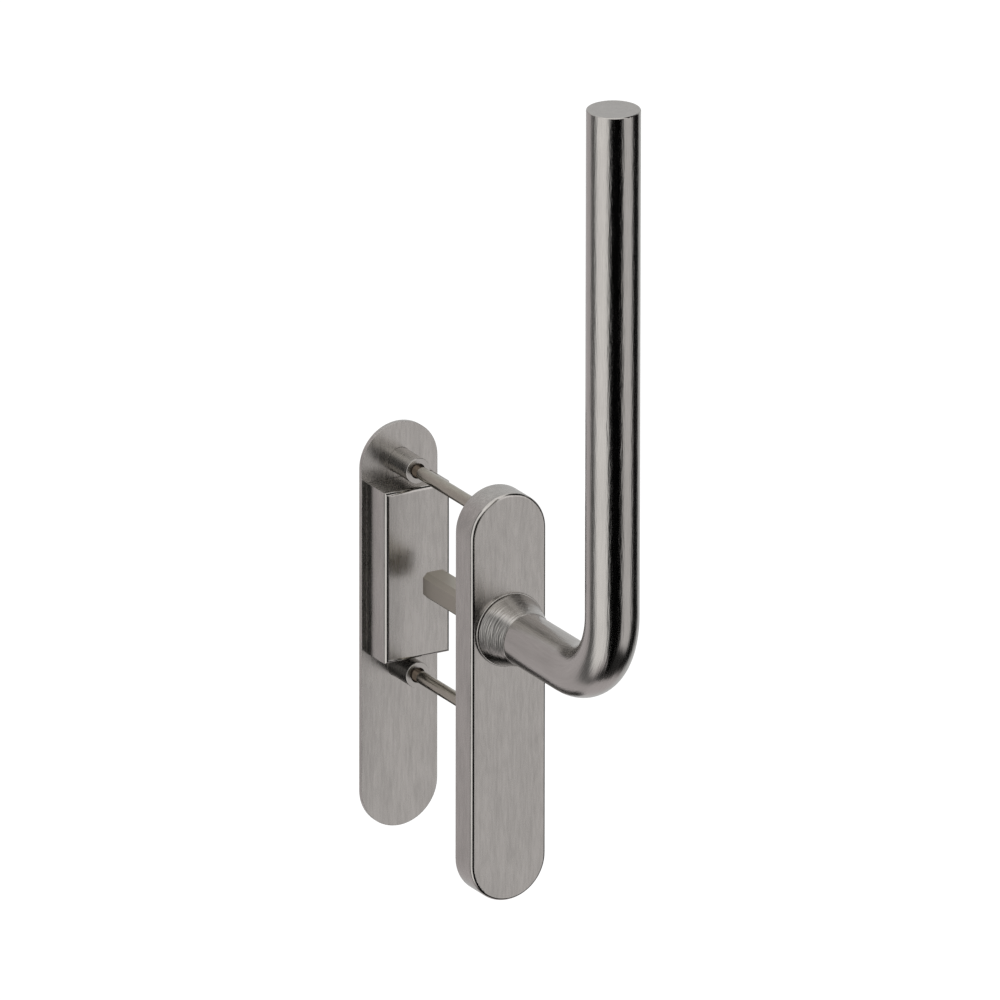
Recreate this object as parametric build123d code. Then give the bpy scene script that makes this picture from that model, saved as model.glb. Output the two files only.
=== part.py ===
"""Door handle set for a lift-and-slide door.

A round-bar lever turns in a capped plate on the room side, a square spindle reaches into the door's
gear, and two through screws pull a thin outside plate with a finger cup against the other face.

Millimetres. +Z is up, the room side faces -Y and the outside faces +Y. The origin is on the spindle's
axis, in the plane of the door's room-side face. Depths on the room side are counted from that face
towards the room, so a depth d lies at y = -d.
"""

import os

from build123d import *

# Door and fixing
door_thickness = 68.8
fixing_centres = 80.0

# Both plates
plate_width = 31.5
plate_length = 158.8
inner_screw_to_end = 12.5
outer_width = 32.0
outer_length = 158.3
outer_screw_to_end = 14.9

# Cap on the room side
cover_height = 11.8
cover_wall = 1.5
cover_edge_radius = 1.3
cover_inner_radius = 0.5

# Carrier under the cap
base_gap = 0.3
base_floor = 2.4
base_rim = 2.0
hub_wall = 2.2
post_wall = 2.4
rib_thickness = 1.8
rib_pitch = 14.0

# Lever: grip, bend and neck
bar_diameter = 20.0
grip_reach = 86.8
grip_top = 225.6
grip_end_radius = 0.5
bend_radius = 30.0

# Turned foot of the lever
cone_diameter = 27.6
cone_length = 12.1
cone_edge_radius = 0.3
cone_rim = 0.2
cone_rim_radius = 0.15
spigot_diameter = 16.0
spigot_length = 13.0
key_diameter = 18.4
key_flats = 16.4
journal_diameter = 16.0
tail_end_depth = 0.4
groove_lip = 0.7
groove_depth = 0.5

# Guide ring round the lever's foot
ring_diameter = 28.4
ring_proud = 1.0
ring_edge_radius = 0.25
ring_spigot_diameter = 23.4
shadow_gap = 0.3

# Stack on the lever's tail
retaining_thickness = 1.0
retaining_width = 2.4
retaining_lug_radius = 1.9
retaining_opening = 3.4
plier_hole_diameter = 1.6
retaining_room = 1.4
washer_thickness = 0.8
washer_room = 1.1
spring_thickness = 0.35
spring_height = 0.9
spring_room = 1.6
spring_bore_play = 0.2
bush_wall = 1.8
bush_flange_thickness = 0.7
bush_flange_room = 0.9

# Turning stop
stop_thickness = 2.3
stop_ring_wall = 1.8
stop_rim = 1.35
stop_lug_angle = 20.0
stop_room = 0.2
stop_angle_room = 1.0
turn_angle = 180.0

# Spindle and its grub screw
spindle_width = 10.0
spindle_corner = 1.8
spindle_end_chamfer = 0.8
spindle_reach = 43.6
spindle_grip = 34.0
grub_depth = 29.5
grub_diameter = 5.0
grub_sink = 0.7
grub_key = 2.5
grub_key_depth = 2.0

# Through screws
screw_diameter = 5.0
screw_shank_diameter = 4.85
screw_thread_length = 10.6
screw_engagement = 9.0
screw_head_diameter = 9.2
screw_head_height = 2.5
screw_head_sink = 0.3
screw_key = 3.0
screw_key_depth = 1.6
screw_hole_play = 0.3
screw_tip_chamfer = 0.5

# Outside plate, bosses and finger cup
outer_thickness = 2.3
outer_edge = 0.4
boss_diameter = 9.8
boss_length = 13.6
boss_seat = 1.0
boss_bore_depth = 12.0
boss_edge = 0.1
boss_mouth_chamfer = 0.4
cup_side = 2.3
cup_boss_gap = 1.7
cup_depth = 13.7
cup_wall = 1.2
cup_edge_radius = 1.5
cup_mouth_edge = 0.3

# Cap clips
clip_width = 5.0
clip_thickness = 0.4
clip_length = 6.4
clip_bow = 1.3
clip_room = 0.2

# Fits, on the radius or per side
running_fit = 0.05
guide_fit = 0.08
slip_fit = 0.05
stack_gap = 0.05

# How far from a plane an edge may lie and still count as lying in it
plane_tolerance = 0.001

# Sizes and depths that follow from the ones above
fixing_height = fixing_centres / 2
inner_rise = fixing_height + inner_screw_to_end
outer_rise = fixing_height + outer_screw_to_end
base_thickness = cover_height - cover_wall - base_gap
cone_back = cover_height + ring_proud + shadow_gap
cone_front = cone_back + cone_length
retaining_back = tail_end_depth + groove_lip + stack_gap
washer_back = retaining_back + retaining_thickness + stack_gap
spring_back = washer_back + washer_thickness + stack_gap
bush_back = spring_back + spring_height + stack_gap
recess_depth = bush_back + bush_flange_thickness
stop_recess_depth = stop_thickness + stop_room
bush_front = base_thickness - stop_recess_depth
key_back = bush_front + stack_gap
groove_diameter = journal_diameter - 2 * groove_depth
retaining_inner = groove_diameter / 2 + slip_fit
retaining_outer = retaining_inner + retaining_width
retaining_lug_centre = retaining_outer - retaining_lug_radius / 2
recess_diameter = 2 * (retaining_lug_centre + retaining_lug_radius + retaining_room)
washer_diameter = recess_diameter - 2 * washer_room
spring_diameter = recess_diameter - 2 * spring_room
bush_flange_diameter = recess_diameter - 2 * bush_flange_room
stop_ring_diameter = key_diameter + 2 * stop_ring_wall
stop_lug_radius = plate_width / 2 - cover_wall - base_gap - stop_rim
hub_radius = stop_lug_radius + stop_room + hub_wall
post_radius = screw_head_diameter / 2 + post_wall
grub_tip = spindle_width / 2 + slip_fit
grub_length = bar_diameter / 2 - grub_tip - grub_sink
cup_width = outer_width - 2 * cup_side
cup_height = fixing_centres - boss_diameter - 2 * cup_boss_gap
boss_mouth = door_thickness - boss_length
cup_floor = door_thickness - cup_depth
cup_mouth = door_thickness + outer_thickness


def across(depth, z=0.0):
    """Sketch plane parallel to the plates: its x runs along +Z, and it extrudes towards the room."""
    return Plane(origin=(0, -depth, z), x_dir=(0, 0, 1), z_dir=(0, -1, 0))


def stadium(length, width, rise, depth, inset=0.0):
    """Round-ended plate outline whose full-size top lies the given rise above the spindle."""
    return across(depth, rise - length / 2) * SlotOverall(length - 2 * inset, width - 2 * inset)


def inner_outline(depth, inset=0.0):
    """Outline of the room-side plate, or a smaller one inside it."""
    return stadium(plate_length, plate_width, inner_rise, depth, inset)


def disc(radius, depth, thickness, z=0.0):
    """Round piece along Y, from the given depth towards the room."""
    return extrude(across(depth, z) * Circle(radius), thickness)


def ring(outer_radius, inner_radius, depth, thickness, z=0.0):
    """Flat ring along Y, from the given depth towards the room."""
    return extrude(across(depth, z) * (Circle(outer_radius) - Circle(inner_radius)), thickness)


def chamfered_square(width, corner):
    """Square with its four corners taken off."""
    return chamfer(Rectangle(width, width).vertices(), corner)


def double_flat(radius, flats):
    """Round section with two flats."""
    return Circle(radius) & Rectangle(4 * radius, flats)


def edges_at_y(body, y):
    """Edges that lie wholly in the plane at y."""
    return body.edges().filter_by_position(Axis.Y, y - plane_tolerance, y + plane_tolerance)


def make_cover_plate():
    """Drawn cap: flat front with a rounded edge, straight side walls, open towards the door."""
    shell = extrude(inner_outline(0), cover_height)
    shell = fillet(edges_at_y(shell, -cover_height), cover_edge_radius)
    inside = extrude(inner_outline(0, cover_wall), cover_height - cover_wall)
    inside = fillet(edges_at_y(inside, -(cover_height - cover_wall)), cover_inner_radius)
    hole = disc(ring_spigot_diameter / 2 + slip_fit, 0, cover_height)
    return shell - inside - hole


def stop_sector(radius, start, sweep, depth, thickness):
    """Pie sector about the spindle axis; angles in degrees from straight up, towards +X."""
    arc = CenterArc((0, 0), radius, 0, sweep)
    outline = Line((0, 0), arc @ 0) + arc + Line(arc @ 1, (0, 0))
    sector = make_face(outline)
    return extrude(across(depth) * Rot(0, 0, -start - sweep) * sector, thickness)


def make_base_plate():
    """Die-cast carrier: rim and ribs round open pockets, a hub for the lever and two screw posts."""
    body = extrude(inner_outline(0, cover_wall + base_gap), base_thickness)

    # Pockets towards the cap, between the rim, the hub, the posts, the clip seats and the ribs
    half = plate_width / 2 - cover_wall - base_gap
    top = inner_rise - cover_wall - base_gap
    bottom = inner_rise - plate_length + cover_wall + base_gap
    clip_block = clip_bow + clip_thickness + slip_fit + base_rim
    pockets = inner_outline(base_floor, cover_wall + base_gap + base_rim)
    pockets -= across(base_floor) * Circle(hub_radius)
    for side in (1, -1):
        pockets -= across(base_floor, side * fixing_height) * Circle(post_radius)
    for end in (top - clip_block / 2, bottom + clip_block / 2):
        pockets -= across(base_floor, end) * Rectangle(clip_block, 2 * half)
    rib_z = -fixing_height - post_radius - rib_pitch / 2
    while rib_z > bottom + clip_block + rib_thickness:
        pockets -= across(base_floor, rib_z) * Rectangle(rib_thickness, 2 * half)
        rib_z -= rib_pitch
    body -= extrude(pockets, base_thickness)

    # Hub: recess for the washer stack at the back, bore for the bush, pocket for the stop ring
    body -= disc(recess_diameter / 2, 0, recess_depth)
    body -= disc(journal_diameter / 2 + running_fit + bush_wall, 0, base_thickness)
    body -= disc(stop_ring_diameter / 2 + stop_room, bush_front, stop_recess_depth)
    half_lug = stop_lug_angle / 2 + stop_angle_room
    body -= stop_sector(
        stop_lug_radius + stop_room, -90 - half_lug, turn_angle + 2 * half_lug,
        bush_front, stop_recess_depth,
    )

    # Countersunk screw holes
    for side in (1, -1):
        body -= disc(screw_diameter / 2 + screw_hole_play, 0, base_thickness, side * fixing_height)
        body -= Pos(0, 0, side * fixing_height) * countersink(screw_hole_play / 2)

    # Seats for the clips, cut into both ends
    seat_depth = clip_bow + clip_thickness + slip_fit
    seat = Box(clip_width + 2 * clip_room, clip_length + 2 * clip_room, 2 * seat_depth)
    for end in (top, bottom):
        body -= Pos(0, -base_thickness / 2, end) * seat
    return body


def countersink(play):
    """Cone that a countersunk head fills, about the spindle axis, with play all round."""
    head = screw_head_diameter / 2 + play
    shank = screw_shank_diameter / 2 + play
    face = base_thickness - screw_head_sink
    profile = Polyline(
        (0, -base_thickness), (head, -base_thickness), (head, -face),
        (shank, -(face - screw_head_height)), (0, -(face - screw_head_height)), close=True,
    )
    return revolve(make_face(profile), Axis.Y)


def make_lever():
    """Solid round bar: straight grip, a single bend, and a neck bored for the foot's spigot."""
    radius = bar_diameter / 2
    bend_depth = grip_reach - bend_radius

    # Grip, bend and neck
    grip_plane = Plane(origin=(0, -grip_reach, bend_radius))
    grip = extrude(grip_plane * Circle(radius), grip_top - bend_radius)
    grip = fillet(grip.edges().sort_by(Axis.Z)[-1], grip_end_radius)
    bend_axis = Axis((0, -bend_depth, bend_radius), (1, 0, 0))
    bend = revolve(grip_plane * Circle(radius), bend_axis, 90)
    neck = disc(radius, cone_front, bend_depth - cone_front)
    body = grip + bend + neck

    # Bore for the spigot, and the hole that the grub screw passes through
    body -= disc(spigot_diameter / 2 + slip_fit, cone_front, spigot_length + slip_fit)
    return body - grub_hole()


def grub_hole():
    """Cross hole from the spindle's underside down through the foot and the bar."""
    plane = Plane(origin=(0, -grub_depth, 0), z_dir=(0, 0, -1))
    return extrude(plane * Circle(grub_diameter / 2), bar_diameter)


def make_lever_foot():
    """Turned foot: spigot for the bar, cone, keyed length, journal and groove, square socket."""
    rim_radius = bar_diameter / 2 + cone_rim
    cone_profile = make_face(Polyline(
        (0, -cone_back), (cone_diameter / 2, -cone_back), (rim_radius, -cone_front),
        (0, -cone_front), close=True,
    ))
    cone = revolve(cone_profile, Axis.Y)
    cone = fillet(edges_at_y(cone, -cone_back), cone_edge_radius)
    cone = fillet(edges_at_y(cone, -cone_front), cone_rim_radius)
    spigot = disc(spigot_diameter / 2, cone_front, spigot_length)
    key = extrude(across(key_back) * double_flat(key_diameter / 2, key_flats), cone_back - key_back)
    journal = disc(journal_diameter / 2, tail_end_depth, key_back - tail_end_depth)
    groove_back = retaining_back - stack_gap
    groove_width = retaining_thickness + 2 * stack_gap
    groove = ring(journal_diameter, groove_diameter / 2, groove_back, groove_width)
    body = spigot + cone + key + (journal - groove)

    # Square socket for the spindle, and the cross hole for its grub screw
    socket_width = spindle_width + 2 * slip_fit
    socket_depth = spindle_grip + slip_fit
    body -= extrude(across(0) * chamfered_square(socket_width, spindle_corner), socket_depth)
    return body - grub_hole()


def make_spindle():
    """Square bar with its corners taken off and both ends chamfered."""
    length = spindle_reach + spindle_grip
    bar = extrude(across(-spindle_reach) * chamfered_square(spindle_width, spindle_corner), length)
    ends = edges_at_y(bar, spindle_reach) + edges_at_y(bar, -spindle_grip)
    return chamfer(ends, spindle_end_chamfer)


def make_spindle_grub_screw():
    """Grub screw with a hexagon socket, driven against the spindle through the bar and foot."""
    face = Plane(origin=(0, -grub_depth, -grub_tip), z_dir=(0, 0, -1))
    body = extrude(face * Circle(grub_diameter / 2 - slip_fit), grub_length)
    mouth = Plane(origin=(0, -grub_depth, -grub_tip - grub_length), z_dir=(0, 0, 1))
    hexagon = mouth * RegularPolygon(grub_key / 2, 6, major_radius=False)
    return body - extrude(hexagon, grub_key_depth)


def make_neck_ring():
    """Guide ring: a collar with a rounded edge on the cap, and a spigot through the cap's hole."""
    bore = key_diameter / 2 + guide_fit
    collar = ring(ring_diameter / 2, bore, cover_height, ring_proud)
    rim = edges_at_y(collar, -(cover_height + ring_proud)).sort_by(SortBy.LENGTH)[-1]
    collar = fillet(rim, ring_edge_radius)
    spigot = ring(ring_spigot_diameter / 2, bore, cover_height - cover_wall, cover_wall)
    return collar + spigot


def make_stop_ring():
    """Ring keyed on the lever's foot; its lug starts at -X and travels over the top to +X."""
    body = disc(stop_ring_diameter / 2, bush_front + stack_gap, stop_thickness)
    body += stop_sector(
        stop_lug_radius, -90 - stop_lug_angle / 2, stop_lug_angle,
        bush_front + stack_gap, stop_thickness,
    )
    keyway = double_flat(key_diameter / 2 + slip_fit, key_flats + 2 * slip_fit)
    return body - extrude(across(0) * keyway, cover_height)


def make_bearing_bush():
    """Flanged plain bush, pushed into the hub from the back."""
    bore = journal_diameter / 2 + running_fit
    sleeve = ring(bore + bush_wall - slip_fit, bore, bush_back, bush_front - bush_back)
    flange = ring(bush_flange_diameter / 2, bore, bush_back, bush_flange_thickness)
    return sleeve + flange


def make_spring_washer():
    """Curved washer: a thin ring bent about the vertical, higher in the middle than at its sides."""
    outer = spring_diameter / 2
    rise = spring_height - spring_thickness
    low = -spring_back
    high = low - rise
    inner_curve = ThreePointArc((-outer, low - spring_thickness), (0, high - spring_thickness),
                                (outer, low - spring_thickness))
    outer_curve = ThreePointArc((-outer, low), (0, high), (outer, low))
    sides = Line((-outer, low), (-outer, low - spring_thickness))
    sides += Line((outer, low), (outer, low - spring_thickness))
    section = make_face(inner_curve + outer_curve + sides)
    sheet = extrude(section, spring_diameter, both=True)
    return sheet & ring(outer, journal_diameter / 2 + spring_bore_play, 0, cover_height)


def make_thrust_washer():
    """Flat washer that the retaining ring bears on."""
    return ring(washer_diameter / 2, journal_diameter / 2 + slip_fit, washer_back, washer_thickness)


def make_retaining_ring():
    """Open spring ring with two plier lugs, sprung into the groove of the lever's tail."""
    body = ring(retaining_outer, retaining_inner, retaining_back, retaining_thickness)
    lug_x = retaining_opening / 2 + retaining_lug_radius
    lug_z = -(retaining_lug_centre ** 2 - lug_x ** 2) ** 0.5
    for side in (1, -1):
        body += Pos(side * lug_x, 0, 0) * disc(
            retaining_lug_radius, retaining_back, retaining_thickness, lug_z)
    opening = Box(retaining_opening, cover_height, recess_diameter)
    body -= Pos(0, 0, -recess_diameter / 2) * opening
    body -= disc(retaining_inner, 0, cover_height)
    for side in (1, -1):
        body -= Pos(side * lug_x, 0, 0) * disc(plier_hole_diameter / 2, 0, cover_height, lug_z)
    return body


def make_fixing_screw(side):
    """Countersunk through screw: plain shank, then a threaded length that ends in the boss."""
    end = boss_mouth + screw_engagement
    thread_start = end - screw_thread_length
    face = base_thickness - screw_head_sink
    shank = screw_shank_diameter / 2
    thread = screw_diameter / 2
    head = screw_head_diameter / 2
    profile = Polyline(
        (0, -face), (head, -face), (shank, -(face - screw_head_height)), (shank, thread_start),
        (thread, thread_start), (thread, end - screw_tip_chamfer),
        (thread - screw_tip_chamfer, end), (0, end), close=True,
    )
    body = revolve(make_face(profile), Axis.Y)
    hexagon = across(face - screw_key_depth) * RegularPolygon(screw_key / 2, 6, major_radius=False)
    body -= extrude(hexagon, screw_key_depth)
    return Pos(0, 0, side * fixing_height) * body


def make_boss(side):
    """Round threaded boss, let into a shallow seat of the outside plate and welded there."""
    body = disc(boss_diameter / 2, -(door_thickness + boss_seat), boss_length + boss_seat)
    body = chamfer(edges_at_y(body, boss_mouth), boss_edge)
    bore = disc(screw_diameter / 2 + slip_fit, -(boss_mouth + boss_bore_depth), boss_bore_depth)
    body -= bore
    mouth = edges_at_y(body, boss_mouth).sort_by(SortBy.LENGTH)[0]
    return Pos(0, 0, side * fixing_height) * chamfer(mouth, boss_mouth_chamfer)


def make_outer_plate():
    """Thin outside plate with a softened edge, an opening for the cup and seats for the bosses."""
    body = extrude(stadium(outer_length, outer_width, outer_rise, -cup_mouth), outer_thickness)
    body = chamfer(edges_at_y(body, cup_mouth), outer_edge)
    opening = Box(cup_width + 2 * slip_fit, 4 * outer_thickness, cup_height + 2 * slip_fit)
    body -= Pos(0, cup_mouth, 0) * opening
    for side in (1, -1):
        body -= disc(boss_diameter / 2 + slip_fit, -(door_thickness + boss_seat),
                     boss_seat, side * fixing_height)
    return body


def make_pull_cup():
    """Rectangular cup of folded and welded sheet: rounded floor edges, sharp corners, open outwards."""
    depth = cup_mouth - cup_floor
    outside = Pos(0, cup_floor + depth / 2, 0) * Box(cup_width, depth, cup_height)
    outside = fillet(edges_at_y(outside, cup_floor), cup_edge_radius)
    inside = Pos(0, cup_floor + cup_wall + depth / 2, 0) * Box(
        cup_width - 2 * cup_wall, depth, cup_height - 2 * cup_wall)
    inside = fillet(edges_at_y(inside, cup_floor + cup_wall), cup_edge_radius - cup_wall)
    cup = outside - inside
    mouth = edges_at_y(cup, cup_mouth).filter_by(
        lambda edge: abs(edge.center().X) < (cup_width - cup_wall) / 2
        and abs(edge.center().Z) < (cup_height - cup_wall) / 2)
    return chamfer(mouth, cup_mouth_edge)


def make_cover_clip(end, outwards):
    """Bowed leaf spring in a seat at the end of the carrier; its crown presses on the cap's wall."""
    half = clip_length / 2
    foot = end - outwards * (clip_bow + clip_thickness)
    crown = foot + outwards * clip_bow
    lift = outwards * clip_thickness
    middle = -base_thickness / 2
    plane = Plane(origin=(0, middle, 0), x_dir=(0, 1, 0), z_dir=(1, 0, 0))
    low_arc = ThreePointArc((-half, foot), (0, crown), (half, foot))
    high_arc = ThreePointArc((-half, foot + lift), (0, crown + lift), (half, foot + lift))
    ends = Line((-half, foot), (-half, foot + lift)) + Line((half, foot), (half, foot + lift))
    section = plane * make_face(low_arc + high_arc + ends)
    return extrude(section, clip_width / 2, both=True)


def main():
    """Make every piece and write one file for each."""
    top = inner_rise - cover_wall - base_gap
    bottom = inner_rise - plate_length + cover_wall + base_gap
    pieces = {
        "lever": make_lever(),
        "lever_foot": make_lever_foot(),
        "neck_ring": make_neck_ring(),
        "cover_plate": make_cover_plate(),
        "base_plate": make_base_plate(),
        "bearing_bush": make_bearing_bush(),
        "stop_ring": make_stop_ring(),
        "spring_washer": make_spring_washer(),
        "thrust_washer": make_thrust_washer(),
        "retaining_ring": make_retaining_ring(),
        "spindle": make_spindle(),
        "spindle_grub_screw": make_spindle_grub_screw(),
        "cover_clip_upper": make_cover_clip(top, 1),
        "cover_clip_lower": make_cover_clip(bottom, -1),
        "fixing_screw_upper": make_fixing_screw(1),
        "fixing_screw_lower": make_fixing_screw(-1),
        "outer_plate": make_outer_plate(),
        "pull_cup": make_pull_cup(),
        "boss_upper": make_boss(1),
        "boss_lower": make_boss(-1),
    }
    os.makedirs("parts", exist_ok=True)
    for name, piece in pieces.items():
        export_step(piece, f"parts/{name}.step")


main()
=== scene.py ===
import math

import bpy
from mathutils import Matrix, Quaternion, Vector


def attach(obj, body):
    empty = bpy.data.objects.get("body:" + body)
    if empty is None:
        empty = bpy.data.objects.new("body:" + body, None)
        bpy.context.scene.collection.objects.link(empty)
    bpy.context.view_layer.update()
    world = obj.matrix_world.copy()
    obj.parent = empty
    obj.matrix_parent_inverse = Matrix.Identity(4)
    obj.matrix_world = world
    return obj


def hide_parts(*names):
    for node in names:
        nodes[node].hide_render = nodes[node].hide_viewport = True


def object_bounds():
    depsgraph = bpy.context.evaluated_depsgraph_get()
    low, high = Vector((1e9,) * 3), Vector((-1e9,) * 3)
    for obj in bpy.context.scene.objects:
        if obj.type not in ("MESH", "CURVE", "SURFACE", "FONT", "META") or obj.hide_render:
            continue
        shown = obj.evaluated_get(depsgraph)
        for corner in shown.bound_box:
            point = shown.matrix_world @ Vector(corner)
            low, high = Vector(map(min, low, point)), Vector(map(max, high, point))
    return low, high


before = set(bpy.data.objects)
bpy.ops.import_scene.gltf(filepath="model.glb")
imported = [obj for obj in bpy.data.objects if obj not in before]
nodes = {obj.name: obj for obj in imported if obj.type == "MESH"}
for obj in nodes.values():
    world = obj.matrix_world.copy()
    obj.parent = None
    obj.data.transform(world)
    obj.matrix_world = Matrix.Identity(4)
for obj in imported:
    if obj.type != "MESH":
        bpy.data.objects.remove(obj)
cad_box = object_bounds()
scene = bpy.context.scene
scene.view_settings.view_transform = "Standard"


# Camera. The set is seen from the room side, a little to the left of the plates and from above,
# with a long lens from far away, so that parallel edges stay almost parallel.
camera_turn = math.radians(29.98)
camera_lift = math.radians(20.43)
camera_distance = 14.0
camera_lens = 1377.1
camera_roll = math.radians(0.085)
aim_right = 0.00248
aim_up = 0.0436
to_camera = Vector((
    -math.sin(camera_turn) * math.cos(camera_lift),
    -math.cos(camera_turn) * math.cos(camera_lift),
    math.sin(camera_lift),
))
camera_right = Vector((math.cos(camera_turn), -math.sin(camera_turn), 0.0))
camera_up = to_camera.cross(camera_right)
camera_data = bpy.data.cameras.new("camera")
camera_data.lens = camera_lens
camera_data.sensor_width = 36.0
camera_data.clip_start = 0.5
camera_data.clip_end = 60.0
camera = bpy.data.objects.new("camera", camera_data)
scene.collection.objects.link(camera)
aim = camera_right * aim_right + camera_up * aim_up
camera.location = aim + to_camera * camera_distance
upright = to_camera.to_track_quat("Z", "Y")
camera.rotation_euler = (Quaternion(to_camera, camera_roll) @ upright).to_euler()
scene.camera = camera


# Studio. A light grey room with a bright ceiling and one tall soft panel to the left of the camera.
# A dark flag behind the camera, a dark floor in front of the set and dark corners to its right
# give the round bar its black bands.
low_grey = 0.66
high_grey = 0.69
horizon_blend = 25
panel_tint = (1.0, 0.985, 0.975)
wall_tint = (1.0, 0.973, 0.974)
rose_tint = (1.0, 0.94, 0.95)
world = bpy.data.worlds.new("studio")
scene.world = world
world.use_nodes = True
sky = world.node_tree
sky.nodes.clear()


def maths(tree, operation, first, second=None):
    """One step of arithmetic between values or links."""
    node = tree.nodes.new("ShaderNodeMath")
    node.operation = operation
    for index, value in enumerate((first, second)):
        if value is None:
            continue
        if isinstance(value, (int, float)):
            node.inputs[index].default_value = value
        else:
            tree.links.new(value, node.inputs[index])
    return node.outputs[0]


def ranged(tree, value, start, end, low=0.0, high=1.0, smooth=False):
    """Carries a value from the range start to end over to the range low to high."""
    node = tree.nodes.new("ShaderNodeMapRange")
    node.interpolation_type = "SMOOTHSTEP" if smooth else "LINEAR"
    for label, number in (("From Min", start), ("From Max", end), ("To Min", low), ("To Max", high)):
        node.inputs[label].default_value = number
    tree.links.new(value, node.inputs["Value"])
    return node.outputs["Result"]


def soft_panel_group():
    """Mask of one panel from its four edges in degrees, each blurred over Soft degrees."""
    group = bpy.data.node_groups.new("soft panel", "ShaderNodeTree")
    for label in ("Azimuth", "Elevation", "Left", "Right", "Bottom", "Top", "Soft"):
        group.interface.new_socket(label, in_out="INPUT", socket_type="NodeSocketFloat")
    group.interface.new_socket("Mask", in_out="OUTPUT", socket_type="NodeSocketFloat")
    inside = group.nodes.new("NodeGroupInput")
    outside = group.nodes.new("NodeGroupOutput")
    masks = []
    for larger, smaller in (("Azimuth", "Left"), ("Right", "Azimuth"),
                            ("Elevation", "Bottom"), ("Top", "Elevation")):
        distance = maths(group, "SUBTRACT", inside.outputs[larger], inside.outputs[smaller])
        share = maths(group, "DIVIDE", distance, inside.outputs["Soft"])
        masks.append(ranged(group, share, -0.5, 0.5, smooth=True))
    total = masks[0]
    for mask in masks[1:]:
        total = maths(group, "MULTIPLY", total, mask)
    group.links.new(total, outside.inputs["Mask"])
    return group


soft_panel = soft_panel_group()
direction = sky.nodes.new("ShaderNodeTexCoord")
towards = sky.nodes.new("ShaderNodeVectorRotate")
towards.rotation_type = "Z_AXIS"
towards.inputs["Angle"].default_value = math.radians(90) + camera_turn
sky.links.new(direction.outputs["Generated"], towards.inputs["Vector"])
parts = sky.nodes.new("ShaderNodeSeparateXYZ")
sky.links.new(towards.outputs["Vector"], parts.inputs["Vector"])
azimuth = maths(sky, "DEGREES", maths(sky, "ARCTAN2", parts.outputs["Y"], parts.outputs["X"]))
elevation = maths(sky, "DEGREES", maths(sky, "ARCSINE", parts.outputs["Z"]))
studio_colour = ranged(sky, elevation, -horizon_blend, horizon_blend, low_grey, high_grey,
                       smooth=True)

# Each row gives a panel's left, right, bottom and top edge and its softness in degrees, counted from
# the camera's bearing and from the horizon, then its brightness and tint
for label, left, right, bottom, top, soft, level, tint in (
    ("floor of the room", -220, 220, -120, -50, 20, 0.67, rose_tint),
    ("wall on the left", -155, -102, -70, 34, 16, 0.62, rose_tint),
    ("wall on the right", 40, 98, -53, 1, 17, 0.79, wall_tint),
    ("ceiling", -220, 220, 50, 120, 16, 1.2, panel_tint),
    ("light above the camera", -60, 36, 26, 60, 14, 1.3, panel_tint),
    ("high wall on the right", 46, 86, 2, 42, 14, 1.15, wall_tint),
    ("gap beside the panel", -107, -82.5, -72, 42, 14, 0.16, panel_tint),
    ("dark floor in front", -88, 112, -110, -66, 15, 0.05, panel_tint),
    ("bright panel", -73.5, -22, -55, 28, 14, 1.175, panel_tint),
    ("flag behind the camera", -17, 43, -86, 19, 16, 0.0, panel_tint),
    ("low dark corner", 30, 114, -84, -46, 14, 0.03, panel_tint),
    ("dark strip on the right", 88, 133, -60, 26, 19, 0.01, panel_tint),
    ("high dark corner", 72, 142, 27, 66, 10, 0.01, panel_tint),
):
    mask = sky.nodes.new("ShaderNodeGroup")
    mask.node_tree = soft_panel
    mask.label = label
    sky.links.new(azimuth, mask.inputs["Azimuth"])
    sky.links.new(elevation, mask.inputs["Elevation"])
    for socket, value in (("Left", left), ("Right", right), ("Bottom", bottom),
                          ("Top", top), ("Soft", soft)):
        mask.inputs[socket].default_value = value
    mix = sky.nodes.new("ShaderNodeMix")
    mix.data_type = "RGBA"
    sky.links.new(mask.outputs["Mask"], mix.inputs["Factor"])
    sky.links.new(studio_colour, mix.inputs["A"])
    mix.inputs["B"].default_value = (level * tint[0], level * tint[1], level * tint[2], 1)
    studio_colour = mix.outputs["Result"]

studio_light = sky.nodes.new("ShaderNodeBackground")
sky.links.new(studio_colour, studio_light.inputs["Color"])
white_ground = sky.nodes.new("ShaderNodeBackground")
white_ground.inputs["Color"].default_value = (1, 1, 1, 1)
ray = sky.nodes.new("ShaderNodeLightPath")
choice = sky.nodes.new("ShaderNodeMixShader")
sky.links.new(ray.outputs["Is Camera Ray"], choice.inputs["Fac"])
sky.links.new(studio_light.outputs[0], choice.inputs[1])
sky.links.new(white_ground.outputs[0], choice.inputs[2])
sky_out = sky.nodes.new("ShaderNodeOutputWorld")
sky.links.new(choice.outputs[0], sky_out.inputs["Surface"])


# Floor. A plain pale sheet well below the plates. It is near white to the eye, and gives little
# light back to the metal.
floor_drop = 0.3
floor_size = 6.0
floor_grey = (0.2, 0.2, 0.2, 1)
floor_white = (0.9, 0.9, 0.9, 1)
bpy.ops.object.select_all(action="DESELECT")
bpy.ops.mesh.primitive_plane_add(size=floor_size, location=(0, 0, cad_box[0].z - floor_drop))
floor = bpy.context.object
floor.name = "studio_floor"
floor.visible_glossy = False
floor_material = bpy.data.materials.new("pale floor")
floor_material.use_nodes = True
paper = floor_material.node_tree
paper.nodes.clear()
sheet = paper.nodes.new("ShaderNodeBsdfDiffuse")
sheet.inputs["Color"].default_value = floor_grey
glow = paper.nodes.new("ShaderNodeEmission")
glow.inputs["Color"].default_value = floor_white
eye = paper.nodes.new("ShaderNodeLightPath")
paper.links.new(eye.outputs["Is Camera Ray"], glow.inputs["Strength"])
both = paper.nodes.new("ShaderNodeAddShader")
paper.links.new(sheet.outputs[0], both.inputs[0])
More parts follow.
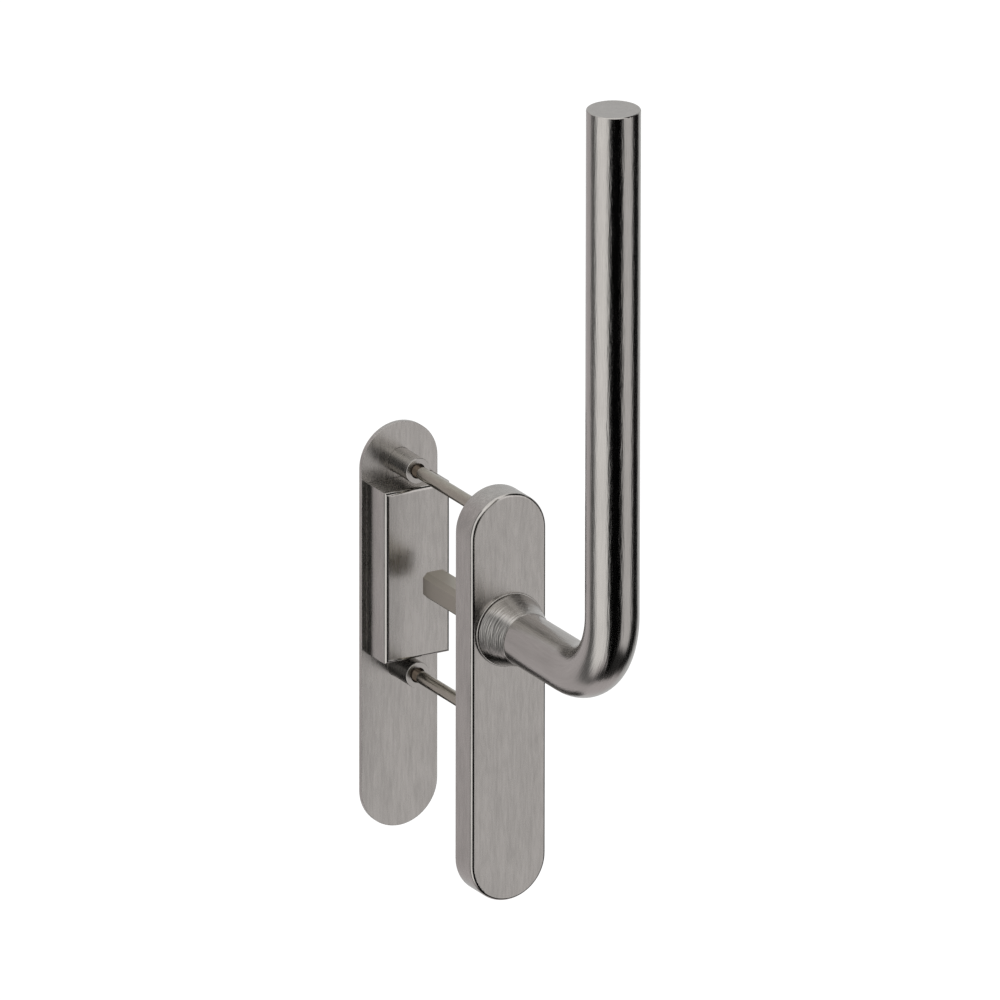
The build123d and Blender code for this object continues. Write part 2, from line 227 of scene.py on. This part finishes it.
paper.links.new(glow.outputs[0], both.inputs[1])
paper_out = paper.nodes.new("ShaderNodeOutputMaterial")
paper.links.new(both.outputs[0], paper_out.inputs["Surface"])
floor.data.materials.append(floor_material)


# Plates and cup. Stainless steel sheet, brushed along its length with a fine belt, so the grain is
# a mass of short vertical strokes; the cap, the outside plate and the cup share this finish.
steel = (0.46, 0.445, 0.425)
grain_up = (0, 0, 0)
plate_roughness = 0.27
rim_roughness = 0.05
rim_softness = 0.0003
rim_beside_face = (0.9995, 0.99)
rim_beside_side = (0.03, 0.15)
edge_samples = 4
worn_edge_width = 0.0004
worn_edge_agreement = (0.995, 0.85)
worn_edge_brightness = 1.3
stroke_range = (0.32, 0.68)
cloud_range = (0.3, 0.7)
cloud_contrast = 0.025


def noise(tree, vector, scale, detail, roughness=0.5):
    """Soft random pattern over a vector."""
    node = tree.nodes.new("ShaderNodeTexNoise")
    node.inputs["Scale"].default_value = scale
    node.inputs["Detail"].default_value = detail
    node.inputs["Roughness"].default_value = roughness
    tree.links.new(vector, node.inputs["Vector"])
    return node.outputs["Fac"]


def brushed_grain_group():
    """Brushed finish: fine and broad strokes along the vector's Z, and soft clouds over them."""
    broad_share = 0.35
    group = bpy.data.node_groups.new("brushed grain", "ShaderNodeTree")
    group.interface.new_socket("Vector", in_out="INPUT", socket_type="NodeSocketVector")
    for label in ("Width", "Length"):
        group.interface.new_socket(label, in_out="INPUT", socket_type="NodeSocketFloat")
    for label in ("Strokes", "Cloud"):
        group.interface.new_socket(label, in_out="OUTPUT", socket_type="NodeSocketFloat")
    inside = group.nodes.new("NodeGroupInput")
    outside = group.nodes.new("NodeGroupOutput")
    shape = group.nodes.new("ShaderNodeCombineXYZ")
    group.links.new(inside.outputs["Width"], shape.inputs["X"])
    group.links.new(inside.outputs["Width"], shape.inputs["Y"])
    group.links.new(inside.outputs["Length"], shape.inputs["Z"])
    fitted = group.nodes.new("ShaderNodeVectorMath")
    fitted.operation = "DIVIDE"
    group.links.new(inside.outputs["Vector"], fitted.inputs[0])
    group.links.new(shape.outputs[0], fitted.inputs[1])
    fine = noise(group, fitted.outputs[0], scale=1.0, detail=2.0, roughness=0.55)
    broad = noise(group, fitted.outputs[0], scale=0.22, detail=1.0)
    mix = group.nodes.new("ShaderNodeMix")
    mix.inputs["Factor"].default_value = broad_share
    group.links.new(fine, mix.inputs["A"])
    group.links.new(broad, mix.inputs["B"])
    group.links.new(mix.outputs["Result"], outside.inputs["Strokes"])
    cloud = noise(group, inside.outputs["Vector"], scale=90.0, detail=2.0)
    group.links.new(cloud, outside.inputs["Cloud"])
    return group


def edge_wear_group():
    """Mask of the handled edges: where a rounded normal leaves the true one."""
    group = bpy.data.node_groups.new("edge wear", "ShaderNodeTree")
    group.interface.new_socket("Strength", in_out="INPUT", socket_type="NodeSocketFloat")
    group.interface.new_socket("Mask", in_out="OUTPUT", socket_type="NodeSocketFloat")
    inside = group.nodes.new("NodeGroupInput")
    outside = group.nodes.new("NodeGroupOutput")
    rounded = group.nodes.new("ShaderNodeBevel")
    rounded.samples = edge_samples
    rounded.inputs["Radius"].default_value = worn_edge_width
    true_normal = group.nodes.new("ShaderNodeNewGeometry")
    agree = group.nodes.new("ShaderNodeVectorMath")
    agree.operation = "DOT_PRODUCT"
    group.links.new(rounded.outputs["Normal"], agree.inputs[0])
    group.links.new(true_normal.outputs["Normal"], agree.inputs[1])
    mask = ranged(group, agree.outputs["Value"], *worn_edge_agreement)
    worn = maths(group, "MULTIPLY", mask, inside.outputs["Strength"])
    group.links.new(worn, outside.inputs["Mask"])
    return group


brushed_grain = brushed_grain_group()
edge_wear = edge_wear_group()


def new_metal(name):
    """Material with a metal shader and its output; gives the material, its tree and the shader."""
    material = bpy.data.materials.new(name)
    material.use_nodes = True
    tree = material.node_tree
    tree.nodes.clear()
    shader = tree.nodes.new("ShaderNodeBsdfPrincipled")
    shader.inputs["Metallic"].default_value = 1.0
    out = tree.nodes.new("ShaderNodeOutputMaterial")
    tree.links.new(shader.outputs[0], out.inputs["Surface"])
    return material, tree, shader


def finish_metal(tree, shader, vector, width, length, colour, contrast, roughness, spread, relief,
                 wear):
    """Colour, roughness, relief and worn edges that follow one pattern of strokes."""
    grain = tree.nodes.new("ShaderNodeGroup")
    grain.node_tree = brushed_grain
    grain.inputs["Width"].default_value = width
    grain.inputs["Length"].default_value = length
    tree.links.new(vector, grain.inputs["Vector"])
    strokes = grain.outputs["Strokes"]
    tone = ranged(tree, strokes, *stroke_range, 1.0 - contrast, 1.0 + contrast)
    shade = ranged(tree, grain.outputs["Cloud"], *cloud_range, 1.0 - cloud_contrast,
                   1.0 + cloud_contrast)
    tinted = tree.nodes.new("ShaderNodeVectorMath")
    tinted.operation = "SCALE"
    tinted.inputs[0].default_value = colour
    tree.links.new(maths(tree, "MULTIPLY", tone, shade), tinted.inputs["Scale"])
    worn = tree.nodes.new("ShaderNodeGroup")
    worn.node_tree = edge_wear
    worn.inputs["Strength"].default_value = wear
    bright = tree.nodes.new("ShaderNodeMix")
    bright.data_type = "RGBA"
    bright.inputs["B"].default_value = [worn_edge_brightness * part for part in colour] + [1]
    tree.links.new(worn.outputs["Mask"], bright.inputs["Factor"])
    tree.links.new(tinted.outputs["Vector"], bright.inputs["A"])
    tree.links.new(bright.outputs["Result"], shader.inputs["Base Color"])
    dull = ranged(tree, strokes, *cloud_range, roughness - spread, roughness + spread)
    tree.links.new(dull, shader.inputs["Roughness"])
    bump = tree.nodes.new("ShaderNodeBump")
    bump.inputs["Strength"].default_value = 1.0
    bump.inputs["Distance"].default_value = relief
    tree.links.new(strokes, bump.inputs["Height"])
    tree.links.new(bump.outputs["Normal"], shader.inputs["Normal"])


def straight_brushed(name, turn, **finish):
    """Metal brushed in straight strokes; turn lays the pattern's Z along the grain."""
    material, tree, shader = new_metal(name)
    place = tree.nodes.new("ShaderNodeTexCoord")
    turned = tree.nodes.new("ShaderNodeMapping")
    turned.inputs["Rotation"].default_value = turn
    tree.links.new(place.outputs["Object"], turned.inputs["Vector"])
    finish_metal(tree, shader, turned.outputs["Vector"], **finish)
    return material


def dress(name, material):
    """Gives a node of the frame its finished material."""
    nodes[name].data.materials.clear()
    nodes[name].data.materials.append(material)


plate_steel = straight_brushed(
    "brushed plate steel", grain_up, width=0.0009, length=0.007, colour=steel, contrast=0.14,
    roughness=plate_roughness, spread=0.03, relief=0.00002, wear=0.2,
)

# Sharp edges are broken by hand, by less than the solids show
tree = plate_steel.node_tree
shader = tree.nodes["Principled BSDF"]
broken_edge = tree.nodes.new("ShaderNodeBevel")
broken_edge.samples = edge_samples
broken_edge.inputs["Radius"].default_value = rim_softness
tree.links.new(broken_edge.outputs["Normal"],
               shader.inputs["Normal"].links[0].from_node.inputs["Normal"])

# The rounded rims between face and side are polished by the press tool, so they shine more
facing = tree.nodes.new("ShaderNodeTexCoord")
lean = tree.nodes.new("ShaderNodeSeparateXYZ")
tree.links.new(facing.outputs["Normal"], lean.inputs[0])
frontal = maths(tree, "ABSOLUTE", lean.outputs["Y"])
off_face = ranged(tree, frontal, *rim_beside_face)
off_side = ranged(tree, frontal, *rim_beside_side)
rim_gloss = tree.nodes.new("ShaderNodeMix")
rim_gloss.inputs["B"].default_value = rim_roughness
tree.links.new(maths(tree, "MULTIPLY", off_face, off_side), rim_gloss.inputs["Factor"])
tree.links.new(shader.inputs["Roughness"].links[0].from_socket, rim_gloss.inputs["A"])
tree.links.new(rim_gloss.outputs["Result"], shader.inputs["Roughness"])

dress("cover_plate", plate_steel)
dress("outer_plate", plate_steel)
dress("pull_cup", plate_steel)


# Bosses. Turned from stainless bar and tapped M5, welded into the back of the outside plate. They
# are left as turned, so they are duller than the plates and their grooves run round them.
grain_through = (math.radians(90), 0, 0)
boss_steel = straight_brushed(
    "turned boss steel", grain_through, width=0.006, length=0.0004, colour=steel, contrast=0.06,
    roughness=0.26, spread=0.04, relief=0.00001, wear=0.3,
)
dress("boss_upper", boss_steel)
dress("boss_lower", boss_steel)


# Lever. Solid round stainless bar, bent once and belt-brushed along its length. The bend and the
# neck are brushed by hand after bending, so they are a little duller than the grip.
bend_depth = 0.0568
bend_radius = 0.03
neck_length = 0.045
grip_roughness = 0.17
neck_roughness = 0.22
bar_steel, tree, shader = new_metal("brushed bar steel")

# The pattern is unrolled along the bent bar, so that the strokes follow the bend
place = tree.nodes.new("ShaderNodeTexCoord")
axes = tree.nodes.new("ShaderNodeSeparateXYZ")
tree.links.new(place.outputs["Object"], axes.inputs[0])
front = maths(tree, "MAXIMUM", maths(tree, "SUBTRACT", -bend_depth, axes.outputs["Y"]), 0.0)
low = maths(tree, "MAXIMUM", maths(tree, "SUBTRACT", bend_radius, axes.outputs["Z"]), 0.0)
reach = maths(tree, "SQRT", maths(tree, "ADD", maths(tree, "MULTIPLY", front, front),
                                  maths(tree, "MULTIPLY", low, low)))
swing = maths(tree, "MULTIPLY", maths(tree, "ARCTAN2", low, front), bend_radius)
above = maths(tree, "MAXIMUM", maths(tree, "SUBTRACT", axes.outputs["Z"], bend_radius), 0.0)
behind = maths(tree, "MAXIMUM", maths(tree, "ADD", axes.outputs["Y"], bend_depth), 0.0)
along = maths(tree, "SUBTRACT", maths(tree, "SUBTRACT", above, swing), behind)
unrolled = tree.nodes.new("ShaderNodeCombineXYZ")
tree.links.new(axes.outputs["X"], unrolled.inputs["X"])
tree.links.new(reach, unrolled.inputs["Y"])
tree.links.new(along, unrolled.inputs["Z"])
finish_metal(
    tree, shader, unrolled.outputs[0], width=0.0006, length=0.007, colour=steel, contrast=0.07,
    roughness=grip_roughness, spread=0.03, relief=0.00009, wear=0.2,
)
more = ranged(tree, along, 0.0, -neck_length, 0.0, neck_roughness - grip_roughness)
dulled = maths(tree, "ADD", shader.inputs["Roughness"].links[0].from_socket, more)
tree.links.new(dulled, shader.inputs["Roughness"])
dress("lever", bar_steel)


# Foot of the lever. Turned from stainless bar and pressed into the neck; the tool left clear grooves
# round its cone, and they are only lightly polished.
foot_steel = straight_brushed(
    "turned foot steel", grain_through, width=0.007, length=0.0007, colour=steel, contrast=0.10,
    roughness=0.19, spread=0.04, relief=0.0002, wear=0.3,
)
dress("lever_foot", foot_steel)


# Guide ring. Stainless steel collar that the lever's foot turns in, faced and polished on a lathe,
# so its fine grooves run round it. It stands in the hole of the cap.
ring_steel = straight_brushed(
    "turned ring steel", grain_through, width=0.01, length=0.00035, colour=steel, contrast=0.06,
    roughness=0.19, spread=0.03, relief=0.000004, wear=0.0,
)
dress("neck_ring", ring_steel)


# Spindle. Square steel bar, cold drawn, so it has long faint die lines, then zinc plated and
# passivated. It sits in the lever's foot, held by a grub screw.
plated = (0.40, 0.375, 0.325)
spindle_plating = straight_brushed(
    "plated spindle steel", grain_through, width=0.0005, length=0.02, colour=plated, contrast=0.06,
    roughness=0.36, spread=0.05, relief=0.000006, wear=0.7,
)
dress("spindle", spindle_plating)


# Through screws. Two countersunk M5 machine screws with a hexagon socket, cold headed, with rolled
# thread at the end, plated like the spindle. They pull the bosses of the outside plate towards the
# carrier.
screw_height = 0.04
screw_head_face = -0.0097
screw_head_height = 0.0025
screw_head_radius = 0.0046
screw_socket_width = 0.003
screw_socket_depth = 0.0016
screw_shank_radius = 0.002425
screw_core_radius = 0.00208
screw_crest_radius = 0.00249
screw_pitch = 0.0008
screw_turns = 13
screw_turn_steps = 32
screw_thread_start = 0.0522
screw_end = 0.0642
screw_tip = 0.0004
screw_tip_share = 0.85
screw_facets = 48
screw_smooth_angle = math.radians(25)
# Dark brown colour given to the rolled thread, about a quarter as bright as the plated shank
dark_brown = (0.10, 0.08, 0.062)


def select_end(piece, side):
    """Goes to edit mode with only the end towards +Y (1) or -Y (-1) selected."""
    bpy.ops.object.mode_set(mode="EDIT")
    bpy.ops.mesh.select_mode(type="FACE")
    bpy.ops.mesh.select_all(action="DESELECT")
    bpy.ops.object.mode_set(mode="OBJECT")
    for face in piece.data.polygons:
        face.select = face.normal.y * side > 0.99
    bpy.ops.object.mode_set(mode="EDIT")


def draw_out(step, scale, centre):
    """Extrudes the selected end along Y and scales it about the axis."""
    bpy.ops.mesh.extrude_region_move(TRANSFORM_OT_translate={"value": (0, step, 0)})
    bpy.ops.transform.resize(value=(scale, 1, scale), center_override=(0, centre, 0))


screw_head_bottom = screw_head_face + screw_head_height
bpy.ops.object.select_all(action="DESELECT")
bpy.ops.mesh.primitive_cylinder_add(
    vertices=screw_facets, radius=screw_shank_radius,
    depth=screw_thread_start - screw_head_bottom,
    location=(0, (screw_thread_start + screw_head_bottom) / 2, 0),
    rotation=(math.radians(90), 0, 0),
)
screw = bpy.context.object
bpy.ops.object.transform_apply(location=True, rotation=True, scale=True)
select_end(screw, -1)
draw_out(-screw_head_height, screw_head_radius / screw_shank_radius, screw_head_face)
select_end(screw, 1)
draw_out(screw_tip, screw_core_radius / screw_shank_radius, screw_thread_start + screw_tip)
draw_out(screw_end - screw_thread_start - 2 * screw_tip, 1.0, screw_end - screw_tip)
draw_out(screw_tip, screw_tip_share, screw_end)
bpy.ops.object.mode_set(mode="OBJECT")

# Hexagon socket, punched into the head
bpy.ops.object.select_all(action="DESELECT")
bpy.ops.mesh.primitive_cylinder_add(
    vertices=6, radius=screw_socket_width / 2 / math.cos(math.radians(30)),
    depth=2 * screw_socket_depth, location=(0, screw_head_face, 0),
    rotation=(math.radians(90), 0, 0),
)
punch = bpy.context.object
bpy.ops.object.transform_apply(location=True, rotation=True, scale=True)
bpy.ops.object.select_all(action="DESELECT")
screw.select_set(True)
bpy.context.view_layer.objects.active = screw
socket_cut = screw.modifiers.new("socket", "BOOLEAN")
socket_cut.operation = "DIFFERENCE"
socket_cut.object = punch
bpy.ops.object.modifier_apply(modifier=socket_cut.name)
bpy.data.objects.remove(punch, do_unlink=True)

# Rolled thread: one ridge, wound round the core
bpy.ops.object.select_all(action="DESELECT")
bpy.ops.mesh.primitive_circle_add(vertices=4, radius=1.0, fill_type="NOTHING", location=(0, 0, 0))
ridge = bpy.context.object
ridge_height = screw_crest_radius - screw_core_radius
bpy.ops.object.mode_set(mode="EDIT")
bpy.ops.mesh.select_all(action="SELECT")
bpy.ops.transform.resize(value=(ridge_height, screw_pitch / 2, 1), center_override=(0, 0, 0))
bpy.ops.transform.translate(value=(screw_core_radius, screw_thread_start + screw_pitch / 2, 0))
bpy.ops.object.mode_set(mode="OBJECT")
winding = ridge.modifiers.new("winding", "SCREW")
winding.axis = "Y"
winding.screw_offset = screw_pitch
winding.iterations = screw_turns
winding.steps = screw_turn_steps
winding.render_steps = screw_turn_steps
winding.use_merge_vertices = True
winding.merge_threshold = 0.000001
bpy.ops.object.modifier_apply(modifier=winding.name)
bpy.ops.object.mode_set(mode="EDIT")
bpy.ops.mesh.select_all(action="SELECT")
bpy.ops.mesh.fill_holes(sides=4)
bpy.ops.mesh.select_all(action="SELECT")
bpy.ops.mesh.normals_make_consistent(inside=False)
bpy.ops.object.mode_set(mode="OBJECT")

# Finish: the shank is plated; the rolled thread is coloured dark brown, much darker than the shank
screw_plating = straight_brushed(
    "plated screw steel", grain_through, width=0.0008, length=0.003, colour=plated, contrast=0.12,
    roughness=0.22, spread=0.05, relief=0.00003, wear=0.3,
)
thread_plating = straight_brushed(
    "oiled thread steel", grain_through, width=0.0008, length=0.002, colour=dark_brown, contrast=0.2,
    roughness=0.3, spread=0.06, relief=0.00002, wear=0.0,
)
screw.data.materials.append(screw_plating)
ridge.data.materials.append(thread_plating)

# Both screws: the ridge joined to its screw, moved to its hole, and a copy for the other hole
bpy.ops.object.select_all(action="DESELECT")
ridge.select_set(True)
screw.select_set(True)
bpy.context.view_layer.objects.active = screw
bpy.ops.object.join()
bpy.ops.object.shade_smooth_by_angle(angle=screw_smooth_angle)
bpy.ops.transform.translate(value=(0, 0, screw_height))
bpy.ops.object.transform_apply(location=True, rotation=True, scale=True)
bpy.ops.object.duplicate()
lower_screw = bpy.context.object
bpy.ops.transform.translate(value=(0, 0, -2 * screw_height))
bpy.ops.object.transform_apply(location=True, rotation=True, scale=True)
for piece, name in ((screw, "upper"), (lower_screw, "lower")):
    piece.name = "through_screw_" + name
    piece.data.name = piece.name
    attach(piece, "door_plates")
    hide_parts("fixing_screw_" + name)


# Stop ring and thrust washer. Punched from strip steel, deburred and plated like the screws. They
# sit on the lever's foot, inside the carrier and behind it.
washer_plating = straight_brushed(
    "plated strip steel", grain_up, width=0.0008, length=0.003, colour=plated, contrast=0.1,
    roughness=0.32, spread=0.05, relief=0.00001, wear=0.6,
)
dress("stop_ring", washer_plating)
dress("thrust_washer", washer_plating)


# Carrier. Zinc die casting behind the cap, left with the fine even skin of the die. Both through
# screws hold it to the door.
zinc = (0.42, 0.42, 0.43)
cast_zinc = straight_brushed(
    "die-cast zinc", grain_up, width=0.0006, length=0.0006, colour=zinc, contrast=0.08,
    roughness=0.5, spread=0.08, relief=0.00003, wear=0.6,
)
dress("base_plate", cast_zinc)


# Springs and clips. Hardened strip steel with a dark phosphate coat: the spring washer and the
# retaining ring on the foot, and the two clips under the cap. The grub screw is finished alike.
phosphate = (0.11, 0.11, 0.115)
spring_steel = straight_brushed(
    "phosphated spring steel", grain_up, width=0.0003, length=0.002, colour=phosphate, contrast=0.15,
    roughness=0.45, spread=0.08, relief=0.000006, wear=1.0,
)
for name in ("spring_washer", "retaining_ring", "cover_clip_upper", "cover_clip_lower",
             "spindle_grub_screw"):
    dress(name, spring_steel)


# Bush. Moulded polymer, matt and nearly black, pressed into the carrier's hub as a bearing for the
# lever's foot.
black_polymer = (0.06, 0.06, 0.06)
bush_polymer = straight_brushed(
    "moulded bush polymer", grain_up, width=0.0003, length=0.0003, colour=black_polymer,
    contrast=0.1, roughness=0.55, spread=0.05, relief=0.00001, wear=0.2,
)
bush_polymer.node_tree.nodes["Principled BSDF"].inputs["Metallic"].default_value = 0.0
dress("bearing_bush", bush_polymer)
